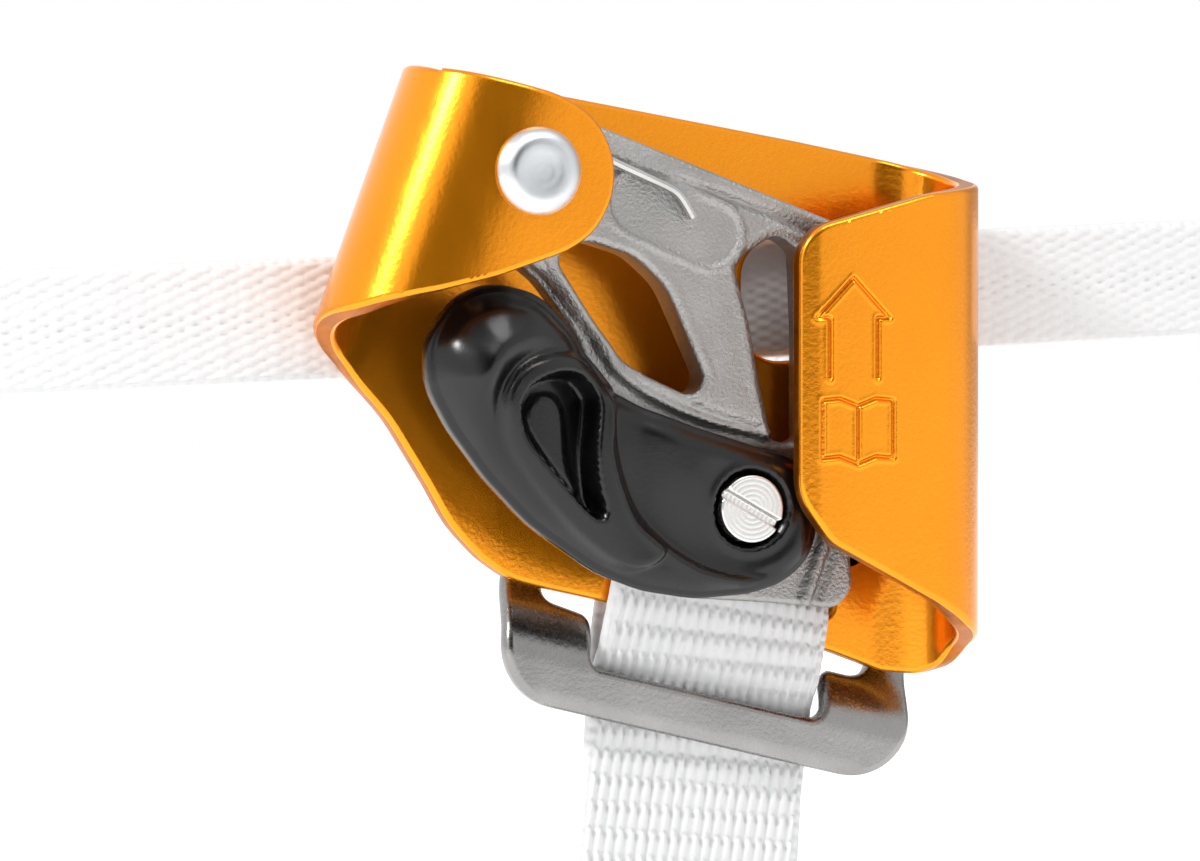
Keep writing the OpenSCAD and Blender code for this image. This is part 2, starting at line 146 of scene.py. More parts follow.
def circle(centre, r, n=48):
    a = np.linspace(0, 2 * math.pi, n, endpoint=False)
    return np.array(centre) + r * np.c_[np.cos(a), np.sin(a)]


def even(loop, step):
    """The closed loop again, with points an equal distance apart."""
    p = np.vstack([loop, loop[:1]])
    run = np.r_[0, np.cumsum(np.linalg.norm(np.diff(p, axis=0), axis=1))]
    at = np.linspace(0, run[-1], max(10, round(run[-1] / step)), endpoint=False)
    return np.c_[[np.interp(at, run, p[:, k]) for k in range(p.shape[1])]].T


def area(loop):
    """Area of a closed loop, positive where it runs anticlockwise."""
    x, z = loop[:, 0], loop[:, 1]
    return 0.5 * float(np.sum(x * np.roll(z, -1) - z * np.roll(x, -1)))


def inward(loop):
    """Unit normals to the left of the loop's direction."""
    t = np.roll(loop, -1, axis=0) - np.roll(loop, 1, axis=0)
    t /= np.linalg.norm(t, axis=1)[:, None] + 1e-12
    return np.c_[-t[:, 1], t[:, 0]]


def within(p, loops):
    """True where a point is inside an odd number of the loops."""
    odd = np.zeros(len(p), bool)
    for loop in loops:
        for a, b in zip(loop, np.roll(loop, -1, axis=0)):
            if a[1] == b[1]:
                continue
            crosses = (a[1] > p[:, 1]) != (b[1] > p[:, 1])
            x = a[0] + (p[:, 1] - a[1]) * (b[0] - a[0]) / (b[1] - a[1])
            odd ^= crosses & (p[:, 0] < x)
    return odd


def away(p, line, closed=False):
    """Distance from each point to a polyline."""
    line = np.array(line, float)
    ends = np.roll(line, -1, axis=0) if closed else line[1:]
    best = np.full(len(p), 1e9)
    for a, b in zip(line, ends):
        ab = b - a
        t = np.clip(((p - a) @ ab) / (ab @ ab + 1e-12), 0, 1)
        best = np.minimum(best, np.linalg.norm(p - a - t[:, None] * ab, axis=1))
    return best


def depth_in(p, loop):
    """Distance inside a closed loop, negative outside."""
    d = away(p, loop, True)
    return np.where(within(p, [loop]), d, -d)


def ramp(x, lo, hi):
    """Rises smoothly from 0 at lo to 1 at hi."""
    t = np.clip((x - lo) / (hi - lo), 0, 1)
    return t * t * (3 - 2 * t)


# ---- meshes ----------------------------------------------------------------

HOLD = 0.12  # width of the strip that keeps an edge's rounding out of the face's shading


def face_outward(mesh):
    """Turns every face of a closed mesh outwards."""
    bm = bmesh.new()
    bm.from_mesh(mesh)
    bmesh.ops.recalc_face_normals(bm, faces=bm.faces)
    bm.to_mesh(mesh)
    bm.free()


def piece(name, verts, faces, body, materials, index=None):
    """A smooth mesh, its vertices in millimetres, that rides on a body."""
    mesh = bpy.data.meshes.new(name)
    mesh.from_pydata((np.asarray(verts) * MM).tolist(), [], faces)
    mesh.validate()
    mesh.polygons.foreach_set("use_smooth", [True] * len(mesh.polygons))
    for m in materials:
        mesh.materials.append(m)
    if index is not None:
        mesh.polygons.foreach_set("material_index", index)
    mesh.update()
    face_outward(mesh)
    obj = bpy.data.objects.new(name, mesh)
    bpy.context.scene.collection.objects.link(obj)
    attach(obj, body)
    return obj


def slab(name, outer, holes, place, body, materials, *, thick, edge, step, rim,
         front=None, back=None, dense=()):
    """A plate with rounded edges. place turns flat points and heights above its middle into space,
    front and back raise its two faces, and dense lists (x0, x1, z0, z1, step) for finer stretches."""
    loops = []
    for k, loop in enumerate([outer, *holes]):
        loop = even(np.asarray(loop, float), rim)
        loops.append(loop if (area(loop) > 0) == (k == 0) else loop[::-1])
    caps = [lp + inward(lp) * edge for lp in loops]
    holding = [lp + inward(lp) * (edge + HOLD) for lp in loops]
    sets = []
    lo, hi = caps[0].min(0), caps[0].max(0)
    for k, (x0, x1, z0, z1, s) in enumerate([(lo[0], hi[0], lo[1], hi[1], step), *dense]):
        x, z = np.meshgrid(np.arange(x0, x1, s), np.arange(z0, z1, s * 0.866))
        x[1::2] += s / 2
        grid = np.c_[x.ravel(), z.ravel()]
        if k == 0:
            for a0, a1, b0, b1, _ in dense:
                grid = grid[~((grid[:, 0] > a0 - s / 2) & (grid[:, 0] < a1 + s / 2)
                              & (grid[:, 1] > b0 - s / 2) & (grid[:, 1] < b1 + s / 2))]
        grid = grid[within(grid, holding)]
        for cap in holding:
            grid = grid[away(grid, cap, True) > 0.8 * min(s, rim)]
        sets.append(grid)
    rings = caps + holding
    starts = np.cumsum([0] + [len(c) for c in rings])
    edges = [(s + i, s + (i + 1) % len(c)) for s, c in zip(starts, rings) for i in range(len(c))]
    points = np.vstack(rings + sets)
    found = delaunay_2d_cdt([Vector(p) for p in points.tolist()], edges, [], 0, 1e-7)
    flat = np.array([tuple(v) for v in found[0]])
    where = {i: k for k, group in enumerate(found[3]) for i in group}
    tris = np.array([tuple(f) for f in found[2]])
    tris = tris[within(flat[tris].mean(axis=1), caps)]
    n = len(flat)
    high = thick / 2 + (front(flat) if front else 0 * flat[:, 0])
    low = -thick / 2 - (back(flat) if back else 0 * flat[:, 0])
    verts = [place(flat, high), place(flat, low)]
    faces = tris.tolist() + (tris[:, ::-1] + n).tolist()
    index = [0] * len(faces)
    base = 2 * n
    for start, cap, loop in zip(starts, caps, loops):
        m = len(loop)
        ids = np.array([where[start + i] for i in range(m)])
        rows = [ids]
        for side, heights in ((1, high), (-1, low)):
            for turn in ((30, 60, 90) if side > 0 else (90, 60, 30)):
                t = math.radians(turn)
                p = loop + inward(loop) * edge * (1 - math.sin(t))
                verts.append(place(p, heights[ids] - side * edge * (1 - math.cos(t))))
                rows.append(np.arange(base, base + m))
                base += m
        rows.append(ids + n)
        for k in range(len(rows) - 1):
            a, b = rows[k], rows[k + 1]
            faces += np.c_[a, b, np.roll(b, -1), np.roll(a, -1)].tolist()
            index += [1 if k == 3 and len(materials) > 1 else 0] * m
    return piece(name, np.vstack(verts), faces, body, materials, index)


def standing(y):
    """Places a slab upright, its middle at that depth and its heights towards the front."""
    return lambda p, h: np.c_[p[:, 0], y - h, p[:, 1]]


def lathe(name, profile, at, body, materials, n=96):
    """A solid of revolution about a line along Y. profile holds (radius, y) from axis to axis."""
    verts, faces = [], []
    for r, y in profile[1:-1]:
        for i in range(n):
            a = 2 * math.pi * i / n
            verts.append((at[0] + r * math.cos(a), y, at[1] + r * math.sin(a)))
    m = len(profile) - 2
    for k in range(m - 1):
        for i in range(n):
            j = (i + 1) % n
            faces.append((k * n + i, k * n + j, (k + 1) * n + j, (k + 1) * n + i))
    for k, (_, y) in ((0, profile[0]), (m - 1, profile[-1])):
        verts.append((at[0], y, at[1]))
        for i in range(n):
            ring = (k * n + i, k * n + (i + 1) % n)
            faces.append((len(verts) - 1, *(ring[::-1] if k == 0 else ring)))
    return piece(name, verts, faces, body, materials)


def webbing(name, path, across, width, thick, weave, body, materials, step=0.3, side=0.28):
    """A woven strap along a path: across gives the direction of its width at each point."""
    along = np.hstack([path, across])
    line = curve(along, step)
    c, b = line[:, :3], line[:, 3:]
    t = np.gradient(c, axis=0)
    t /= np.linalg.norm(t, axis=1)[:, None]
    b = b - t * np.sum(t * b, axis=1)[:, None]
    b /= np.linalg.norm(b, axis=1)[:, None]
    up = np.cross(t, b)
    s = np.r_[0, np.cumsum(np.linalg.norm(np.diff(c, axis=0), axis=1))]
    count = round(width / side)
    # Points across, a little closer together at the edges
    u = width / 2 * np.sin(np.linspace(-1, 1, count + 1) * math.pi / 2 * 0.999) * 0.35
    u += 0.65 * np.linspace(-width / 2, width / 2, count + 1)
    r = 0.6 * thick
    drop = np.clip((np.abs(u) - (width / 2 - r)) / r, 0, 1)
    half = thick / 2 * np.sqrt(1 - drop**2)
    rings = []
    for sign in (1, -1):
        uu = u[:-1] if sign > 0 else u[:0:-1]
        hh = half[:-1] if sign > 0 else half[:0:-1]
        fade = np.clip(hh / (thick / 2), 0, 1) ** 0.5
        relief = weave(uu[None, :] * np.ones((len(s), 1)), s[:, None] * np.ones((1, len(uu))))
        h = sign * (hh[None, :] + fade[None, :] * relief)
        rings.append(c[:, None, :] + b[:, None, :] * uu[None, :, None] + up[:, None, :] * h[:, :, None])
    grid = np.concatenate(rings, axis=1)
    rows, cols = grid.shape[:2]
    i = np.arange((rows - 1) * cols)
    k, j = i // cols, i % cols
    faces = np.c_[k * cols + j, (k + 1) * cols + j, (k + 1) * cols + (j + 1) % cols,
                  k * cols + (j + 1) % cols].tolist()
    for row, flip in ((0, False), (rows - 1, True)):
        o = row * cols
        for q in range(1, count):
            quad = (o + q, o + q + 1, o + cols - q - 1, o + cols - q)
            faces.append(quad[::-1] if flip else quad)
        tip = (o, o + 1, o + cols - 1)
        faces.append(tip[::-1] if flip else tip)
    return piece(name, grid.reshape(-1, 3), faces, body, materials)


# ---- materials -------------------------------------------------------------


class Look:
    """One procedural material, built node by node."""

    def __init__(self, name, **values):
        self.material = bpy.data.materials.new(name)
        self.material.use_nodes = True
        self.tree = self.material.node_tree
        self.shader = self.tree.nodes["Principled BSDF"]
        for key, value in values.items():
            self.shader.inputs[key.replace("_", " ")].default_value = value
        self.place = self.node("ShaderNodeTexCoord").outputs["Object"]

    def node(self, kind, inputs=None, **settings):
        n = self.tree.nodes.new(kind)
        for key, value in settings.items():
            setattr(n, key, value)
        for key, value in (inputs or {}).items():
            if isinstance(value, bpy.types.NodeSocket):
                self.tree.links.new(value, n.inputs[key])
            else:
                n.inputs[key].default_value = value
        return n

    def shift(self, offset=(0, 0, 0), stretch=(1, 1, 1)):
        return self.node("ShaderNodeMapping", {"Vector": self.place, "Location": offset,
                                               "Scale": stretch}).outputs[0]

    def noise(self, scale, detail=3.0, where=None, rough=0.5):
        return self.node("ShaderNodeTexNoise", {"Vector": where or self.place, "Scale": scale,
                                                "Detail": detail, "Roughness": rough}).outputs[0]

    def mapped(self, value, lo, hi, a=0.0, b=1.0):
        return self.node("ShaderNodeMapRange", {"Value": value, "From Min": a, "From Max": b,
                                                "To Min": lo, "To Max": hi}).outputs[0]

    def mix(self, factor, a, b):
        n = self.node("ShaderNodeMix", data_type="RGBA")
        for key, value in (("Factor_Float", factor), ("A_Color", a), ("B_Color", b)):
            socket = next(s for s in n.inputs if s.identifier == key)
            if isinstance(value, bpy.types.NodeSocket):
                self.tree.links.new(value, socket)
            else:
                socket.default_value = (*value, 1)
        return next(s for s in n.outputs if s.identifier == "Result_Color")

    def bump(self, height, strength, distance, before=None):
        ins = {"Height": height, "Strength": strength, "Distance": distance}
        if before is not None:
            ins["Normal"] = before
        return self.node("ShaderNodeBump", ins).outputs[0]

    def give(self, name, value):
        self.tree.links.new(value, self.shader.inputs[name])

    def add(self, a, b):
        return self.node("ShaderNodeMath", {0: a, 1: b}, operation="ADD").outputs[0]


def gold_sheet():
    look = Look("gold_anodised", Metallic=0.82, Coat_Weight=0.15, Coat_Roughness=0.2)
    cloud = look.noise(60, 4)
    grain = look.noise(900, 3, look.shift(stretch=(1, 1, 0.16)))
    look.give("Base Color", look.mix(cloud, (0.8, 0.255, 0.004), (0.86, 0.3, 0.006)))
    look.give("Roughness", look.add(look.mapped(grain, 0.16, 0.26), look.mapped(cloud, -0.03, 0.04)))
    soft = look.bump(look.noise(300, 2), 0.1, 0.00016)
    peel = look.bump(look.noise(1700, 2), 0.4, 0.00005, soft)
    look.give("Normal", look.bump(grain, 0.08, 0.00005, peel))
    return look.material


def gold_edge():
    look = Look("gold_cut_edge", Metallic=1.0)
    streak = look.noise(700, 4, look.shift(stretch=(1, 0.15, 1)), 0.6)
    look.give("Base Color", look.mix(streak, (0.22, 0.05, 0.001), (0.62, 0.19, 0.008)))
    look.give("Roughness", look.mapped(streak, 0.3, 0.5))
    look.give("Normal", look.bump(streak, 0.5, 0.00012))
    return look.material


def steel(name, colour, rough, grain_scale, grain, pits=0.0, coarse=0.0):
    look = Look(name, Metallic=1.0)
    fine = look.noise(grain_scale, 3, rough=0.6)
    cloud = look.noise(110, 5)
    dark = tuple(c * 0.78 for c in colour)
    look.give("Base Color", look.mix(look.mapped(cloud, 0.0, 1.0, 0.3, 0.7), dark, colour))
    look.give("Roughness", look.add(look.mapped(fine, -0.06, 0.06),
                                    look.mapped(cloud, rough - 0.05, rough + 0.05)))
    normal = look.bump(fine, grain, 0.0002)
    if coarse:
        normal = look.bump(look.noise(420, 2), coarse, 0.00025, normal)
    if pits:
        cell = look.node("ShaderNodeTexVoronoi", {"Vector": look.place, "Scale": 900.0}).outputs[0]
        normal = look.bump(look.mapped(cell, 0, 1, 0.0, 0.35), pits, 0.0001, normal)
    look.give("Normal", normal)
    return look.material


def turned(name, colour, at, rings, strength, rough):
    """Metal with the concentric marks of a lathe round a line along Y."""
    look = Look(name, Metallic=1.0, Anisotropic=0.5)
    where = look.shift((-at[0] * MM, 0, -at[1] * MM))
    wave = look.node("ShaderNodeTexWave", {"Vector": where, "Scale": rings, "Distortion": 0.6,
                                           "Detail": 2.0, "Detail Scale": 2.0},
                     wave_type="RINGS", rings_direction="Y").outputs[1]
    scratch = look.noise(500, 4)
    look.give("Base Color", look.mix(scratch, tuple(c * 0.85 for c in colour), colour))
    look.give("Roughness", look.add(look.mapped(wave, rough - 0.05, rough + 0.07),
                                    look.mapped(scratch, -0.05, 0.05)))
    look.give("Normal", look.bump(look.noise(1500, 2), 0.15, 0.00006,
                                  look.bump(wave, strength, 0.00008)))
    return look.material


def plastic(name, colour, rough, grain):
    look = Look(name, Specular_IOR_Level=0.4)
    spark = look.noise(1500, 3, rough=0.65)
    wear = look.noise(90, 4)
    look.give("Base Color", look.mix(wear, colour, tuple(c * 1.5 for c in colour)))
    look.give("Roughness", look.add(look.mapped(wear, rough - 0.04, rough + 0.06),
                                    look.mapped(spark, -0.04, 0.04)))
    look.give("Normal", look.bump(spark, grain, 0.00009))
    return look.material


def fabric(name, colour, fibre_scale, fibre):
    look = Look(name, Roughness=0.75, Sheen_Weight=0.35, Sheen_Roughness=0.4,
                Specular_IOR_Level=0.35)
    thread = look.noise(fibre_scale, 4, look.shift(stretch=(1, 1, 0.35)), 0.6)
    cloud = look.noise(70, 3)
    tone = look.add(look.mapped(thread, 0.0, 0.7), look.mapped(cloud, 0.0, 0.3))
    look.give("Base Color", look.mix(tone, tuple(c * 0.86 for c in colour), colour))
    look.give("Roughness", look.mapped(thread, 0.62, 0.85))
    look.give("Normal", look.bump(thread, fibre, 0.0001))
    return look.material


AXLE = (-53, 31.4)  # the two pivots, across and up
SCREW = (-22.3, -9.4)
BAR_TILT = math.radians(13.5)  # how far the bracket and its slot lean down to the right
SLOT_TILT = math.radians(29)  # how far the screw's slot does
gold = gold_sheet()
edge_gold = gold_edge()
cast = steel("cast_stainless", (0.38, 0.37, 0.36), rough=0.42, grain_scale=2300, grain=1.0, coarse=0.08)
tumbled = steel("tumbled_stainless", (0.31, 0.305, 0.3), rough=0.27, grain_scale=1700, grain=0.16,
                pits=0.08, coarse=0.05)
spring_steel = steel("drawn_wire", (0.5, 0.49, 0.48), rough=0.25, grain_scale=2500, grain=0.1)
plain_steel = steel("bright_steel", (0.72, 0.71, 0.69), rough=0.28, grain_scale=2200, grain=0.12)
bronze = steel("sintered_bronze", (0.5, 0.31, 0.12), rough=0.45, grain_scale=2600, grain=0.3, pits=0.3)
rivet_metal = turned("rivet_steel", (0.66, 0.68, 0.7), AXLE, rings=260, strength=0.015, rough=0.38)
screw_metal = turned("screw_steel", (0.75, 0.74, 0.72), SCREW, rings=520, strength=0.12, rough=0.28)
black = plastic("black_plastic", (0.002, 0.002, 0.0023), rough=0.24, grain=0.2)
webbing_white = fabric("white_webbing", (0.68, 0.685, 0.69), fibre_scale=900, fibre=0.5)
thread_white = fabric("white_thread", (0.6, 0.6, 0.59), fibre_scale=2500, fibre=0.6)


# ---- frame plate -----------------------------------------------------------

PLATE = 3.0  # thickness of the sheet
LEAN_SIN, LEAN_COS = 0.352, 0.936  # the fold's axis leans to the right at its top
FOLD_X, FOLD_DROP = -64.6, 21.0  # where the fold starts, and from the rear face to the flap
BEND_R = 9.0  # the rope channel, to the sheet's middle
BEND_ARC = math.pi * BEND_R
FLANGE = 17.3  # width of the flange from the end of the bend
AXLE_HOLE = 3.05


def fold_profile(n=400, steady=0.6):
    """The fold's middle line, seen along its axis: run, angle turned, way left and drop to the front.
    It bends evenly at first and then ever less, until it lies along the flap."""
    u = np.linspace(0, 1, n)
    bend = np.where(u < steady, 1, 0.5 + 0.5 * np.cos(np.pi * (u - steady) / (1 - steady)))
    turn = np.r_[0, np.cumsum((bend[1:] + bend[:-1]) / 2)]
    turn *= math.pi / turn[-1]
    middle = (turn[1:] + turn[:-1]) / 2
    left = np.r_[0, np.cumsum(np.cos(middle))] / (n - 1)
    drop = np.r_[0, np.cumsum(np.sin(middle))] / (n - 1)
    scale = FOLD_DROP / drop[-1]
    return u * scale, turn, left * scale, drop * scale


FOLD_RUN, FOLD_TURN, FOLD_LEFT, FOLD_FALL = fold_profile()
FOLD_ARC = FOLD_RUN[-1]


def leaned(x, z):
    """Coordinates across and along the fold's axis."""
    return x * LEAN_COS - z * LEAN_SIN, x * LEAN_SIN + z * LEAN_COS


def upright(xl, w):
    """The way back from leaned."""
    return xl * LEAN_COS + w * LEAN_SIN, -xl * LEAN_SIN + w * LEAN_COS


# These give the place in the flat sheet of a point on the bent part


def on_fold(degrees, w):
    """At that angle round the fold from the rear face, and that far along its axis."""
    return upright(FOLD_X - np.interp(math.radians(degrees), FOLD_TURN, FOLD_RUN), w)


def on_flap(x, z):
    xl, w = leaned(x, z)
    return upright(FOLD_X - (FOLD_ARC + FOLD_LEFT[-1] + xl - FOLD_X), w)


def on_bend(degrees, z):
    return BEND_R * math.radians(degrees), z


def on_flange(x, z):
    return BEND_ARC - x, z


def bent(p, h):
    """Bends the flat blank round the channel and round the leaning fold."""
    x, z = p[:, 0], p[:, 1]
    out = np.c_[x, BEND_R + h, z]
    a = np.clip(x / BEND_R, 0, math.pi)
    past = np.maximum(x - BEND_ARC, 0)
    right = np.c_[(BEND_R + h) * np.sin(a) - past, (BEND_R + h) * np.cos(a), z]
    out[x > 0] = right[x > 0]
    xl, w = leaned(x, z)
    s = FOLD_X - xl
    a = np.interp(s, FOLD_RUN, FOLD_TURN)
    past = np.maximum(s - FOLD_ARC, 0)
    ux, uz = upright(FOLD_X - np.interp(s, FOLD_RUN, FOLD_LEFT) - h * np.sin(a) + past, w)
    left = np.c_[ux, BEND_R - np.interp(s, FOLD_RUN, FOLD_FALL) + h * np.cos(a), uz]
    out[s > 0] = left[s > 0]
    return out


def blank():
    """Outline of the sheet before it is bent, as corners with their radii, from the lower left."""
    corners = [(-64.5, 1.7, 20), (-59.4, -6.3, 30), (-56.4, -11.5, 14), (-52.5, -15.5, 10),
               (-48.6, -18.2, 10), (-43, -19.6, 12), (-5.4, -27.9, 14)]
    corners += [(*on_bend(a, z), 6) for a, z in
                ((12, -30.6), (45, -31), (70, -29.8), (90, -27.2), (140, -24.2))]
    corners += [(*on_flange(0.6, -20.8), 20), (*on_flange(-13.2, -13.6), 5),
                (*on_flange(-FLANGE, -8.2), 8), (*on_flange(-FLANGE, 24.6), 5.2)]
    corners += [(*on_bend(180, 29.3), 12), (*on_bend(90, 31.2), 16), (*on_bend(20, 33.8), 12),
                (-10, 36.2, 20), (-44, 41.8, 10), (-53.3, 43.4, 8)]
    corners += [(*on_fold(33, 20.5), 12), (*on_fold(69, 19), 12), (*on_fold(126, 18.6), 20),
                (*on_flap(-64.2, 44.3), 12)]
    corners += [(*on_flap(-52.6 + 9.9 * math.cos(a), 31.1 + 9.9 * math.sin(a)), 12)
                for a in np.radians((75, 45, 15, -15, -45, -68))]
    corners += [(*on_flap(-57.9, 18.9), 14), (*on_fold(165, -6.8), 14), (*on_fold(120, -12), 12),
                (*on_fold(69, -14.6), 4), (*on_fold(25, -17.1), 10)]
    return rounded(corners)


def turned_box(u0, u1, v0, v1, r):
    """A rounded box that leans as the bracket does."""
    u, v = box_loop(u0, u1, v0, v1, r).T
    return np.c_[u * math.cos(BAR_TILT) + v * math.sin(BAR_TILT),
                 -u * math.sin(BAR_TILT) + v * math.cos(BAR_TILT)]


ARROW = [[(-13.6, 6.6), (-13.6, 14), (-15.2, 14), (-10.4, 18.9), (-5.6, 14), (-7.2, 14), (-7.2, 6.6)]]
PAGE = [(-9.8, 3.2), (-12.2, 4.1), (-14.5, 3.9), (-14.5, -3.2), (-12.2, -3), (-9.8, -3.9)]
BOOK = [PAGE + [PAGE[0]], [(-19.6 - x, z) for x, z in PAGE] + [(-9.8, 3.2)]]


# Finer stretches of the flange's mesh, from the bend's end: the marks, then the left edge
STAMPED = ((3.9, 14.3, -5, 20, 0.17), (14.5, 17.4, -14, 27, 0.28))


def stamped(p):
    """Grooves of the arrow and the open book, and the softened left edge of the flange."""
    depth = np.zeros(len(p))
    near = (p[:, 0] > BEND_ARC + 3) & (p[:, 1] > -6) & (p[:, 1] < 21)
    if near.any():
        d = np.full(near.sum(), 1e9)
        for line in ARROW + BOOK:
            d = np.minimum(d, away(p[near], [on_flange(*q) for q in line]))
        depth[near] = -0.42 * (1 - ramp(d, 0.06, 0.34)) + 0.05 * np.exp(-(((d - 0.5) / 0.2) ** 2))
    edge = BEND_ARC + FLANGE - p[:, 0]
    bow = 0.3 * np.clip(p[:, 0] - BEND_ARC, 0, 17.4) * np.clip(edge, 0, 17.4) / 8.7 ** 2
    return depth + bow - np.where(edge < 6, 0.42 * (1 - ramp(edge, 0, 3.2)) ** 2, 0)


plate = slab(
    "frame_sheet", blank(),
    [box_loop(-17.4, -6, 8.6, 24, 5), turned_box(-31.1, 0.4, -24.4, -20.8, 1.2),
     circle(AXLE, AXLE_HOLE), np.array([on_flap(*q) for q in circle(AXLE, AXLE_HOLE)])],
    bent, "frame", [gold, edge_gold], thick=PLATE, edge=0.6, step=0.9, rim=0.4,
    front=stamped, dense=[(BEND_ARC + a, BEND_ARC + b, z0, z1, s) for a, b, z0, z1, s in STAMPED])
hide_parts("frame_plate")


# ---- axle rivet and screw --------------------------------------------------


rivet = lathe(
    "rivet_head_and_shank",
    [(0, -15.22), (1.2, -15.24), (2.2, -15.34), (3, -15.42), (3.6, -15.4), (4, -15.28), (4.4, -15.04),
     (4.8, -14.7), (5.12, -14.34), (5.3, -13.98), (5.34, -13.72), (5.26, -13.52), (3, -13.45),
     (3, 10.45), (4.4, 10.5), (4.5, 10.8), (4.1, 11.7), (3.4, 12.05), (0, 12.1)],
    AXLE, "frame", [rivet_metal])
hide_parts("axle_rivet")


def screw_mesh():
    """The screw's head is a slab, so that the slot has straight walls."""
    def slot(p):
        off = (p[:, 0] - SCREW[0]) * math.sin(SLOT_TILT) + (p[:, 1] - SCREW[1]) * math.cos(SLOT_TILT)
        return -1.1 * (1 - ramp(np.abs(off), 0.46, 0.62))

    head = slab("screw_head", circle(SCREW, 4.15, 96), [], standing(-6.2), "cam",
                [screw_metal], thick=1.7, edge=0.25, step=0.14, rim=0.28, front=slot)
    shank = lathe("screw_shank", [(0, -5.5), (1.9, -5.5), (2, -5.4), (2, 3.2), (1.8, 3.4), (0, 3.4)],
                  SCREW, "cam", [screw_metal], 48)
    shank.parent = head
    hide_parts("catch_screw")


screw_mesh()


# ---- cam -------------------------------------------------------------------


BOSS_R, BUSH_R = 9.4, 6


def spiral(a):
    """Radius of the toothed side at an angle in degrees about the axle."""
    return 66.1 * math.exp(-math.tan(math.radians(20)) * math.radians(a + 47))


def toothed():
    """Corners of the toothed side from top to bottom, every second one in a root."""
    out = []
    for i in range(31):
        a = -9.5 - 32.5 * i / 30
        r = spiral(a) - (1.1 if i % 2 else 0)
        out.append((AXLE[0] + r * math.cos(math.radians(a)), AXLE[1] + r * math.sin(math.radians(a)), 0.25))
    return out


def ring_part(centre, r, a0, a1, n):
    """Corners along a stretch of a circle."""
    return [(centre[0] + r * math.cos(math.radians(a)), centre[1] + r * math.sin(math.radians(a)), 6)
            for a in np.linspace(a0, a1, n)]


CAM_FOOT = [(-7.6, -15.4, 2), (-7.3, -19.6, 2.5), (-9.4, -22, 2.5), (-20.1, -21, 8)]
CAM_OUTLINE = rounded(
    ring_part(AXLE, BOSS_R, 215, 70, 12) + [(-10.4, 25.9, 1.5)] + toothed() + CAM_FOOT
    + [(-29, -20.4, 6), (-32.5, -18, 5), (-35.5, -11, 10), (-39, -3, 10), (-41.6, 5, 10), (-44, 12, 10),
       (-49.1, 18.4, 8), (-56, 23.5, 4)])
RAISED = rounded(
    ring_part(AXLE, BOSS_R, 250, 70, 12)
    + [(-9.6, 25.6, 0), (5, 20, 0), (5, -6, 0), (-12.2, -2.4, 0), (-18.5, -1, 4), (-26.4, 0.8, 8),
       (-31, 2.3, 8), (-35.6, 4.5, 6), (-39.2, 7, 6), (-41.3, 9.9, 6), (-43.1, 12.6, 6), (-46.1, 16.3, 6),
       (-49.1, 19.7, 5)])
CAM_WINDOW = rounded([
    (-47.6, 21.4, 1.5), (-43.5, 23.4, 4), (-37.3, 21.6, 7), (-33, 17.9, 9), (-30.3, 12.2, 9),
    (-27.6, 6.4, 2.2), (-29.3, 4.3, 2), (-34.6, 6.6, 8), (-38.2, 8.6, 6), (-41.6, 13, 10)])
CAM_OPENING = rounded([
    (-24, 20.8, 2.2), (-21.8, 13.3, 14), (-20.4, 5.7, 12), (-18.7, -1.2, 4), (-14.2, -1.6, 3), (-13.2, 5, 8),
    (-13.2, 13, 8), (-14.8, 22, 4), (-18.2, 24.4, 3)])
PLAQUE = [(-36.4, 28), (-27.1, 24.2)]  # the ends of the middle line of the oval on the web
SPRING_GROOVE = curve([
    (-44, 34.2), (-38.8, 32.6), (-31, 30.5), (-25.3, 28.8), (-16.7, 25.9), (-12.2, 23.6)], 1)
ARM_GROOVE = curve([
    (-49.4, 20.9), (-46.6, 17.7), (-43.4, 13.9), (-40.6, 10), (-36.6, 6.5), (-31.4, 3.9), (-26.4, 2),
    (-20.4, 0.2)], 1)


def cam_face(p):
    """Height of the cam's front above its seat: the raised web, its ridges, groove and plaque."""
    web = 2.0 * ramp(depth_in(p, RAISED), -0.35, 0.55)
    web -= 0.75 * np.exp(-((away(p, SPRING_GROOVE) / 0.5) ** 2))
    rim = away(p, PLAQUE)
    web += 0.42 * np.exp(-(((rim - 4.3) / 0.28) ** 2))
    web -= 0.22 * (1 - ramp(rim, 3.4, 4.1))
    for loop, high in ((CAM_WINDOW, 0.22), (CAM_OPENING, 0.2)):
        web += high * np.exp(-(((-depth_in(p, loop) - 0.95) / 0.4) ** 2))
    web -= 0.75 * np.exp(-((away(p, ARM_GROOVE) / 0.62) ** 2)) * (depth_in(p, RAISED) > 0)
    lobe = (p[:, 1] < -10) & (p[:, 0] > -17)
    t = (p[:, 0] + 11.3) - (p[:, 1] + 13) * 0.37
    web += np.where(lobe, 1.1 * (ramp(t, -0.5, 0.2) - 0.75 * ramp(t, 0.9, 1.6) + 0.55 * ramp(t, 2.2, 2.7)), 0)
    return web


cam = slab(
    "cam_casting", CAM_OUTLINE, [CAM_WINDOW, CAM_OPENING, circle(AXLE, BUSH_R)],
    standing(-1.5), "cam", [cast],
    thick=3.0, edge=0.7, step=0.42, rim=0.42, front=cam_face)
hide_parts("cam")


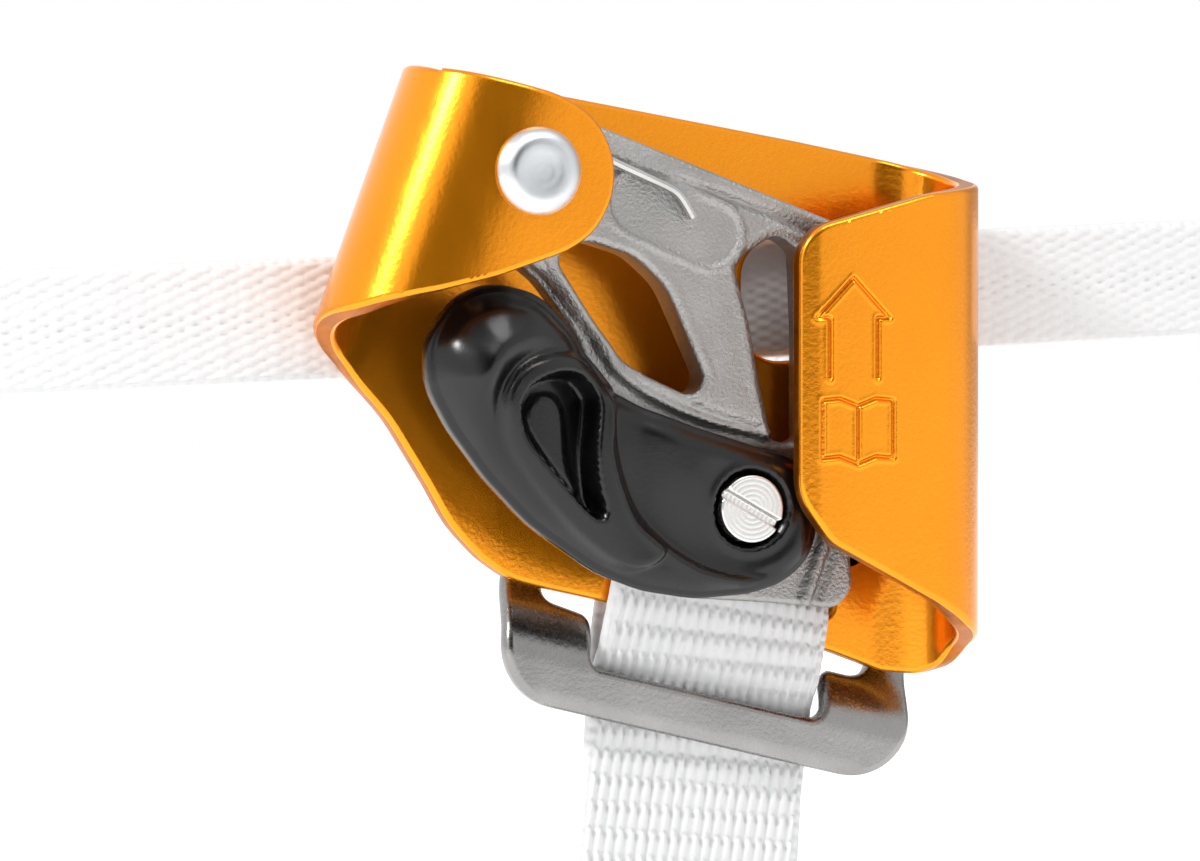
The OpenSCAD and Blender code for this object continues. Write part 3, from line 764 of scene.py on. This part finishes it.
def cam_head():
    """The thick toothed head behind the web, and the boss round the axle."""
    outline = rounded([(-13, 25.4, 1.5), (-10.4, 25.9, 1.5)] + toothed() + CAM_FOOT
                      + [(-29, -20.4, 4), (-30.4, -14, 3), (-17, -13.2, 5), (-12.4, -6, 6), (-12.4, 12, 6)])
    head = slab("cam_head", outline, [], standing(2.35), "cam", [cast],
                thick=4.9, edge=0.5, step=1.0, rim=0.45)
    boss = slab("cam_boss", circle(AXLE, BOSS_R, 90), [circle(AXLE, BUSH_R)], standing(0.6), "cam",
                [cast], thick=11.1, edge=0.6, step=1.0, rim=0.6)
    seat = slab("cam_screw_boss", circle(SCREW, 6.4, 60), [circle(SCREW, 4.15)], standing(2.3), "cam",
                [cast], thick=4.9, edge=0.5, step=1.0, rim=0.6)
    for obj in (head, boss, seat):
        obj.parent = cam


cam_head()


# ---- catch -----------------------------------------------------------------

CATCH = rounded([
    (-60.8, 16.4, 7), (-56.2, 18.3, 8), (-50, 16.9, 8), (-45.6, 12.6, 10), (-43, 8.4, 12), (-40.6, 5.4, 8),
    (-36, 3.1, 12), (-29.3, 0.7, 14), (-21.3, -1.7, 12), (-15, -3.2, 7), (-12.4, -8.6, 8), (-13.6, -15.2, 7),
    (-17.3, -18.6, 9), (-22.3, -19.9, 12), (-29.3, -20.4, 14), (-36.2, -19.3, 14), (-42.5, -17, 14),
    (-51.3, -11.1, 20), (-57, -5.3, 20), (-61.4, 0.4, 14), (-64.3, 5.5, 9), (-64.6, 11.4, 7)])
# The thumb ring's outer and inner edges, the pad in its hollow, and the edge of the scoop beside it
RING_OUT = curve([
    (-55.8, 2.3), (-55.4, 5.6), (-53.2, 8.1), (-49.6, 9.3), (-46, 9.1), (-43, 7.5), (-41.2, 4.8),
    (-41.2, 1.1), (-41.5, -2), (-40.3, -6.4), (-38, -11), (-34.4, -14.6), (-38.6, -16.2), (-44.4, -13),
    (-50.2, -7.6), (-54.6, -1.8)], 0.8, True)
RING_IN = curve([
    (-53.9, 2.2), (-53.5, 4.7), (-51.4, 6.6), (-48.4, 7.4), (-45.2, 6.8), (-43.3, 4.4), (-43.3, 2),
    (-43.8, -2), (-43.4, -6.3), (-42.5, -9.4), (-43.3, -10.3), (-45.6, -8.8), (-49.3, -5),
    (-52.7, -1)], 0.7, True)
PAD = curve([
    (-52, 2.8), (-50.6, 4.6), (-48.6, 4.6), (-47.2, 3), (-46.8, 0), (-46.4, -3.5), (-45, -7.6), (-47.4, -5.6),
    (-50, -2.4), (-51.8, 0.6)], 0.7, True)
SWEEP = curve([
    (-40.4, 5.6), (-40.9, 1), (-40.3, -4), (-38, -9.4), (-34, -13.6), (-28.6, -16.8), (-22, -18.2),
    (-16.5, -17.2)], 0.8)
RIGHT_OF_SWEEP = np.vstack([SWEEP, [(0, -12), (0, 20), (-40, 20)]])


def catch_front(p):
    """Height of the catch's front above its plain face."""
    inside = depth_in(p, CATCH)
    left = 1 - ramp(p[:, 0], -50, -36)
    about = depth_in(p, RING_OUT)
    high = 5.6 - 1.6 * ramp(p[:, 1], 6, 14)
    crown = high * left * np.sin(np.pi / 2 * np.clip(inside / 8.0, 0, 1)) * (1 - 0.5 * ramp(about, -4.2, 0))
    soft = -1.5 * (1 - ramp(inside, 0.0, 3.4)) ** 2
    lip = 1.25 * ramp(about, -0.8, 0.35)
    well = depth_in(p, RING_IN)
    hollow = -(4.3 + 0.6 * left) * ramp(well, -0.3, 0.8) + 0.55 * ramp(depth_in(p, PAD), -0.25, 0.4)
    side = away(p, SWEEP) * np.where(within(p, [RIGHT_OF_SWEEP]), 1, -1)
    step = (1 - ramp(p[:, 0], -24, -15)) * (side > -0.4)
    scoop = -0.95 * ramp(side, -0.3, 0.8) * (1 - ramp(side, 1.2, 9.5)) * step
    brim = 0.35 * np.exp(-((side + 0.5) / 0.8) ** 2) * (1 - ramp(p[:, 0], -26, -16)) * ramp(-p[:, 1], -7, -2)
    r = np.linalg.norm(p - SCREW, axis=1)
    seat = -1.75 * (1 - ramp(r, 4.35, 4.7)) - 0.35 * (1 - ramp(r, 4.7, 9.5))
    seat += 0.2 * np.exp(-((r - 5.3) / 0.5) ** 2)
    return crown + soft + lip + hollow + scoop + brim + seat


def catch_back(p):
    """The bulge on the left also reaches back beside the cam."""
    return 4.3 * (1 - ramp(p[:, 0], -47.5, -46.2)) * ramp(depth_in(p, CATCH), 1.4, 3.6)


catch = slab(
    "catch_moulding", CATCH, [circle(SCREW, 3.55)], standing(-5.3), "catch", [black],
    thick=3.4, edge=0.8, step=0.45, rim=0.45, front=catch_front, back=catch_back)
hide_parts("catch")


# ---- strap bracket ---------------------------------------------------------

# The bracket's middle line seen from its end: depth and height across the bar
BRACKET_RUN = [(11.75, -9), (11.75, -26.5), (11.6, -28.6), (10.6, -30.6), (8.4, -33.3), (7.2, -35),
               (6.75, -37), (6.75, -44.5)]


def bracket_place(p, h):
    """Flat points run along the bracket's bent section. Height is towards the front."""
    line = curve(BRACKET_RUN, 0.25)
    s = np.interp(-p[:, 1], -line[:, 1], np.arange(len(line)))
    y = np.interp(s, np.arange(len(line)), line[:, 0])
    v = np.interp(s, np.arange(len(line)), line[:, 1])
    t = np.gradient(line, axis=0)
    t /= np.linalg.norm(t, axis=1)[:, None]
    ny = np.interp(s, np.arange(len(line)), t[:, 1])
    nv = np.interp(s, np.arange(len(line)), -t[:, 0])
    y, v, u = y + ny * h, v + nv * h, p[:, 0]
    return np.c_[u * math.cos(BAR_TILT) + v * math.sin(BAR_TILT), y,
                 -u * math.sin(BAR_TILT) + v * math.cos(BAR_TILT)]


def crown_bar(p):
    """The bar is a little thicker in its middle, as a drawn ring is."""
    return 0.25 * ramp(-p[:, 1], 35.5, 37.6) * (1 - ramp(-p[:, 1], 41.6, 43.4))


bracket = slab(
    "bracket_ring",
    rounded([(-42.6, -10, 4), (-42.6, -43.3, 8), (13.6, -43.3, 9), (13.6, -27, 5), (13, -10, 4)]),
    [rounded([(-37.4, -20.5, 2), (-37.4, -30.8, 1.6), (-30.9, -31.6, 1.6), (-30.9, -37.3, 1.4),
              (1.4, -37.3, 1.8), (1.4, -31.2, 1.2), (8.4, -31.2, 4.5), (8.4, -20.5, 2)])],
    bracket_place, "frame", [tumbled],
    thick=2.5, edge=0.85, step=0.8, rim=0.5, front=crown_bar)
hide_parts("strap_bracket")


# ---- straps ----------------------------------------------------------------


STRAP_THICK = 1.35
WIDE, NARROW = 30, 15  # widths of the foot strap and the ankle strap
WIDE_FIELD, NARROW_FIELD = 14, 6.9  # from the middle to the woven edges
WIDE_THREAD, NARROW_THREAD = (1.45, 3.2), (1.36, 3.4)  # width and length of a thread


def lens(u, s, column, row, shift=0.0):
    """Bulging threads, each as long as a row and pointed at both ends."""
    cu = (u / column + shift) % 1 - 0.5
    cs = (s / row + shift) % 1
    width = 0.5 * np.sin(np.pi * cs) ** 0.6 + 1e-6
    return np.clip(1 - (cu / width) ** 2, 0, 1) ** 0.5 * np.sin(np.pi * cs) ** 0.6


def arch(u, s, column, row):
    """Bulging threads in rows, each pointed where it comes up and tucked under the next at its foot."""
    cu = (u / column) % 1 - 0.5
    cs = (s / row) % 1
    width = 0.5 * np.minimum(1, (cs / 0.45) ** 0.5) + 1e-6
    thread = np.clip(1 - (cu / width) ** 2, 0, 1) ** 0.5 * (1 - 0.6 * cs)
    foot = np.clip(1 - (2 * cu) ** 2, 0, 1) ** 0.5 * np.clip(0.32 - 0.5 * cs, 0, 1)
    return np.maximum(thread, foot)


def wide_weave(u, s):
    """Columns of arched threads between two woven edges."""
    selvedge = 0.25 * np.abs(np.cos(np.pi * s / (WIDE_THREAD[1] / 2))) * (np.abs(u) > WIDE_FIELD)
    return 0.85 * arch(u, s, *WIDE_THREAD) * (np.abs(u) <= WIDE_FIELD) + selvedge - 0.12


def narrow_weave(u, s):
    """Two sets of lens-shaped threads, half a step apart."""
    a = lens(u, s, *NARROW_THREAD)
    b = lens(u, s, *NARROW_THREAD, 0.5)
    selvedge = 0.2 * np.abs(np.cos(np.pi * s / (NARROW_THREAD[1] / 2))) * (np.abs(u) > NARROW_FIELD)
    return 0.48 * np.maximum(a, 0.92 * b) * (np.abs(u) <= NARROW_FIELD) + selvedge - 0.12


# The middle of the foot strap: from its end behind the frame, over the slot, down in front, under the
# sole and up behind to the loop that the ankle strap passes through
FOOT_ROUTE = [
    (-23.6, 10.5, -56), (-23.2, 10.6, -50), (-22.8, 10.7, -43), (-22.2, 11, -35),
    (-21.6, 11.7, -29), (-21, 11.9, -25), (-20.4, 11.9, -21), (-20.2, 11.1, -19.2),
    (-20.2, 9.1, -18.3), (-20.4, 7.2, -19.2), (-20.8, 6.4, -21), (-21.4, 6.5, -24.5),
    (-21.9, 7.4, -28.8), (-22.3, 8.8, -32.8), (-23.1, 9, -40), (-24, 8.9, -48),
    (-24.9, 8.8, -57), (-25.6, 9.1, -66), (-25.8, 11, -76), (-24.4, 17, -83.5),
    (-20, 28, -87), (-13, 44, -88), (-4, 62, -88), (4, 78, -86.5), (9.4, 89, -82),
    (12, 94.6, -73), (13.6, 95, -60), (15.6, 95, -44), (18, 94.9, -26), (20.6, 94.8, -8),
    (22, 94.8, 3), (23.1, 94.8, 12), (24.2, 94.8, 23), (24.6, 96, 28.9),
    (24.6, 100, 28.9), (24.2, 101.2, 23), (23.1, 101.2, 12), (22, 100.4, 3),
    (21.2, 98, -4), (20.6, 97, -9), (20, 97, -14)]


def foot_across(i):
    """Direction of the width: square to the slot in front, level under the sole."""
    k = min(1, max(0, (i - 15) / 8))
    tip = -0.09 * min(1, max(0, (i - 23) / 5))
    return math.cos(BAR_TILT), 0, -math.sin(BAR_TILT) * (1 - k) + tip


foot_strap = webbing(
    "foot_webbing", np.array(FOOT_ROUTE), np.array([foot_across(i) for i in range(len(FOOT_ROUTE))]),
    WIDE, STRAP_THICK, wide_weave, "frame", [webbing_white])
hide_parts("foot_strap")

ANKLE_NEAR, ANKLE_FAR = 11.9, 96.8  # depth of the run behind the frame and of the one behind the ankle
ANKLE_LEFT, ANKLE_RIGHT = -118, 54  # where the half circles round the ankle start
ANKLE_Z = 17.3


def ankle_route():
    """Round the ankle from the free end to the sewn one, through the buckle and behind the frame."""
    r, mid = (ANKLE_FAR - ANKLE_NEAR) / 2, (ANKLE_FAR + ANKLE_NEAR) / 2

    def turn(x, start, end):
        return [(x + r * math.cos(a), mid + r * math.sin(a)) for a in np.linspace(start, end, 13) * math.pi]

    flat = [(-42, 98.6), (-36, 98.6), (-30, 98.9), (-26, 100.2), (-22.9, 100.4), (-20.7, 98.5), (-22.9, 96.6),
            (-27, 96.7), (-42, 96.8), (-70, 96.8), (-95, 96.8)]
    flat += turn(ANKLE_LEFT, 0.5, 1.5)
    flat += [(x, ANKLE_NEAR) for x in (-90, -60, -30, 0, 28)]
    flat += turn(ANKLE_RIGHT, -0.5, 0.5)
    flat += [(30, 96.8), (4, 96.8), (-2, 96.6), (-8, 96.5), (-14, 96.5), (-16.9, 98.5), (-14, 100.5),
             (-8, 100.5), (-2, 100.5), (3, 99.5), (9, 98.7), (30, 98.6), (51, 98.6)]
    return [on_ankle(x, y, 0) for x, y in flat]


def on_ankle(x, y, z):
    """The ankle strap's plane leans a little to the left and back."""
    a, b = math.radians(-1), math.radians(-2.6)
    y, z = y * math.cos(a) - z * math.sin(a), y * math.sin(a) + z * math.cos(a)
    x, z = x * math.cos(b) + z * math.sin(b), -x * math.sin(b) + z * math.cos(b)
    return x, y, z + ANKLE_Z


ANKLE_ROUTE = ankle_route()
up_strap = np.array(on_ankle(0, 0, 1)) - np.array(on_ankle(0, 0, 0))
ankle_strap = webbing(
    "ankle_webbing", np.array(ANKLE_ROUTE), np.tile(up_strap, (len(ANKLE_ROUTE), 1)),
    NARROW, STRAP_THICK, narrow_weave, "frame", [webbing_white])
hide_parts("ankle_strap")


# ---- small hardware --------------------------------------------------------


def ankle_slab(name, outer, holes, y0, y1, material):
    """A flat piece on the ankle strap, in the strap's leaning plane."""
    middle, thick = (y0 + y1) / 2, y1 - y0

    def put(p, h):
        return np.array([on_ankle(x, middle + d, z) for (x, z), d in zip(p, h)])

    return slab(name, outer, holes, put, "frame", [material],
                thick=thick, edge=min(0.5, thick * 0.4), step=1.2, rim=0.6)


buckle = ankle_slab("buckle", box_loop(-24, -2.4, -11, 11, 2.5),
                    [box_loop(-22.2, -15.2, -8.4, 8.4, 1.2), box_loop(-12.8, -5.2, -8.4, 8.4, 1.2)],
                    97.9, 99.1, tumbled)
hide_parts("buckle_frame")

clamp = slab("clamp_bar", box_loop(-25.5, -17.5, 7.5, 25.5, 2.2), [],
             lambda p, h: np.c_[p[:, 0], 13.65 + h, p[:, 1]], "frame", [tumbled],
             thick=1.5, edge=0.4, step=1.0, rim=0.5)
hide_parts("ankle_clamp_plate")

NODE_LOOK = {
    "axle_sleeve": plain_steel, "axle_washer": plain_steel, "cam_bush": bronze, "cam_spring": spring_steel,
    "catch_bush": bronze, "catch_sleeve_nut": plain_steel, "catch_washer": plain_steel,
    "bracket_rivets": plain_steel, "ankle_clamp_rivets": plain_steel, "ankle_strap_keeper": black,
    "foot_strap_anchor_stitching": thread_white, "foot_strap_loop_stitching": thread_white,
    "ankle_strap_stitching": thread_white}
for node, material in NODE_LOOK.items():
    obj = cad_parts[node]
    obj.data.materials.clear()
    obj.data.materials.append(material)


# ---- floor and light -------------------------------------------------------


def floor():
    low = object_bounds()[0].z
    mesh = bpy.data.meshes.new("floor")
    r = 3.0
    mesh.from_pydata([(-r, -r, low), (r, -r, low), (r, r, low), (-r, r, low)], [], [(0, 1, 2, 3)])
    look = Look("floor", Roughness=0.9, Emission_Color=(1, 1, 1, 1), Emission_Strength=0.4)
    look.give("Base Color", look.mix(look.noise(3, 2), (0.93, 0.93, 0.93), (0.95, 0.95, 0.95)))
    mesh.materials.append(look.material)
    obj = bpy.data.objects.new("floor", mesh)
    bpy.context.scene.collection.objects.link(obj)
    obj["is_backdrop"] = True


def softbox(name, azimuth, elevation, distance, size, power):
    """An area light that looks at the object from the given side."""
    back = facing(azimuth, elevation)
    light = bpy.data.lights.new(name, "AREA")
    light.shape = "RECTANGLE"
    light.size, light.size_y = size
    light.energy = power
    obj = bpy.data.objects.new(name, light)
    obj.location = back * distance + Vector((-0.025, 0.01, 0))
    obj.rotation_mode = "QUATERNION"
    obj.rotation_quaternion = back.to_track_quat("Z", "Y")
    bpy.context.scene.collection.objects.link(obj)


# Brightness round the horizon, by the angle in degrees to the right of the front
ROOM = ((-180, 1.0), (-46, 1.0), (-37, 0.0), (8, 0.0), (19, 0.85), (30, 1.0), (85, 0.9), (100, 0.4),
        (135, 0.4), (155, 1.0), (180, 1.0))


def studio():
    """White for the camera, and a room with a dark front for the reflections."""
    world = bpy.data.worlds.new("studio")
    bpy.context.scene.world = world
    world.use_nodes = True
    tree = world.node_tree
    add, link = tree.nodes.new, tree.links.new
    where, parts = add("ShaderNodeTexCoord"), add("ShaderNodeSeparateXYZ")
    link(where.outputs["Generated"], parts.inputs[0])

    def math_node(kind, a, b):
        n = add("ShaderNodeMath")
        n.operation = kind
        for k, value in enumerate((a, b)):
            if isinstance(value, float):
                n.inputs[k].default_value = value
            else:
                link(value, n.inputs[k])
        return n.outputs[0]

    front = math_node("MULTIPLY", parts.outputs["Y"], -1.0)
    angle = math_node("ARCTAN2", parts.outputs["X"], front)
    turn = math_node("MULTIPLY_ADD", angle, 0.5 / math.pi)
    turn.node.inputs[2].default_value = 0.5
    ramp_node = add("ShaderNodeValToRGB")
    stops = ramp_node.color_ramp.elements
    while len(stops) < len(ROOM):
        stops.new(0.5)
    for stop, (degrees, level) in zip(stops, ROOM):
        stop.position = 0.5 + degrees / 360
        stop.color = (level, level, level, 1)
    link(turn, ramp_node.inputs[0])
    high = add("ShaderNodeMapRange")
    for key, value in (("From Min", 0.45), ("From Max", 0.85), ("To Min", 0.0), ("To Max", 1.0)):
        high.inputs[key].default_value = value
    link(parts.outputs["Z"], high.inputs["Value"])
    blend = add("ShaderNodeMix")
    blend.data_type = "RGBA"
    link(high.outputs[0], blend.inputs[0])
    link(ramp_node.outputs[0], blend.inputs[6])
    blend.inputs[7].default_value = (0.75, 0.75, 0.75, 1)
    room = tree.nodes["Background"]
    link(blend.outputs[2], room.inputs["Color"])
    room.inputs["Strength"].default_value = 1.15
    white = add("ShaderNodeBackground")
    white.inputs["Color"].default_value = (1, 1, 1, 1)
    ray, mix = add("ShaderNodeLightPath"), add("ShaderNodeMixShader")
    link(ray.outputs["Is Camera Ray"], mix.inputs[0])
    link(room.outputs[0], mix.inputs[1])
    link(white.outputs[0], mix.inputs[2])
    link(mix.outputs[0], tree.nodes["World Output"].inputs[0])
    softbox("left_box", azimuth=-72, elevation=36, distance=0.9, size=(0.15, 0.19), power=6)
    softbox("top_box", azimuth=10, elevation=60, distance=1.0, size=(0.45, 0.35), power=3.2)
    bpy.context.scene.view_settings.view_transform = "Standard"


floor()
studio()
